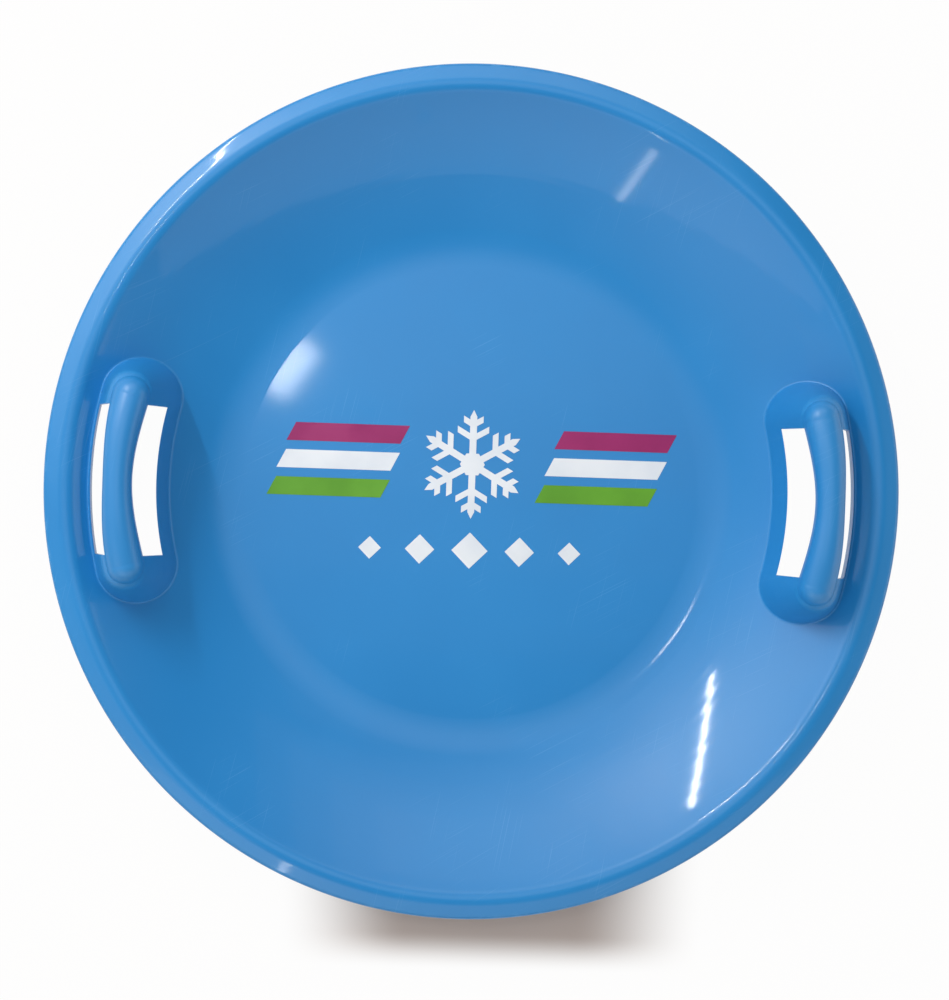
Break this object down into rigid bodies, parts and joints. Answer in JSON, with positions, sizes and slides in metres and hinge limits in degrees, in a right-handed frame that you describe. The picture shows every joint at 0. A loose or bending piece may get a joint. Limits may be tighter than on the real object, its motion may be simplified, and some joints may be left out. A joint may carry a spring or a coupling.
{
  "type": "saucer sled",
  "caption": "Round plastic snow sled: shallow dish with flat floor, curved wall and turned-down rim, rigid arched grips in opposite walls, and cut films on the floor.",
  "frame": {"origin": "middle of the underside of the flat floor, on which the sled lies", "axes": "+Z up, out of the open side of the dish; the grips lie on the X axis; +Y is up when the floor's films are read"},
  "size_m": [0.6, 0.6, 0.0945],
  "materials": {
    "blue_plastic": "moulded gloss",
    "white_film": "satin film",
    "magenta_film": "satin film",
    "green_film": "satin film"
  },
  "bodies": {
    "root": {"dish": "blue_plastic", "left_handle": "blue_plastic", "right_handle": "blue_plastic", "snow_crystal": "white_film", "left_magenta_stripe": "magenta_film", "left_white_stripe": "white_film", "left_green_stripe": "green_film", "right_magenta_stripe": "magenta_film", "right_white_stripe": "white_film", "right_green_stripe": "green_film", "far_left_diamond": "white_film", "left_diamond": "white_film", "middle_diamond": "white_film", "right_diamond": "white_film", "far_right_diamond": "white_film"}
  },
  "joints": []
}
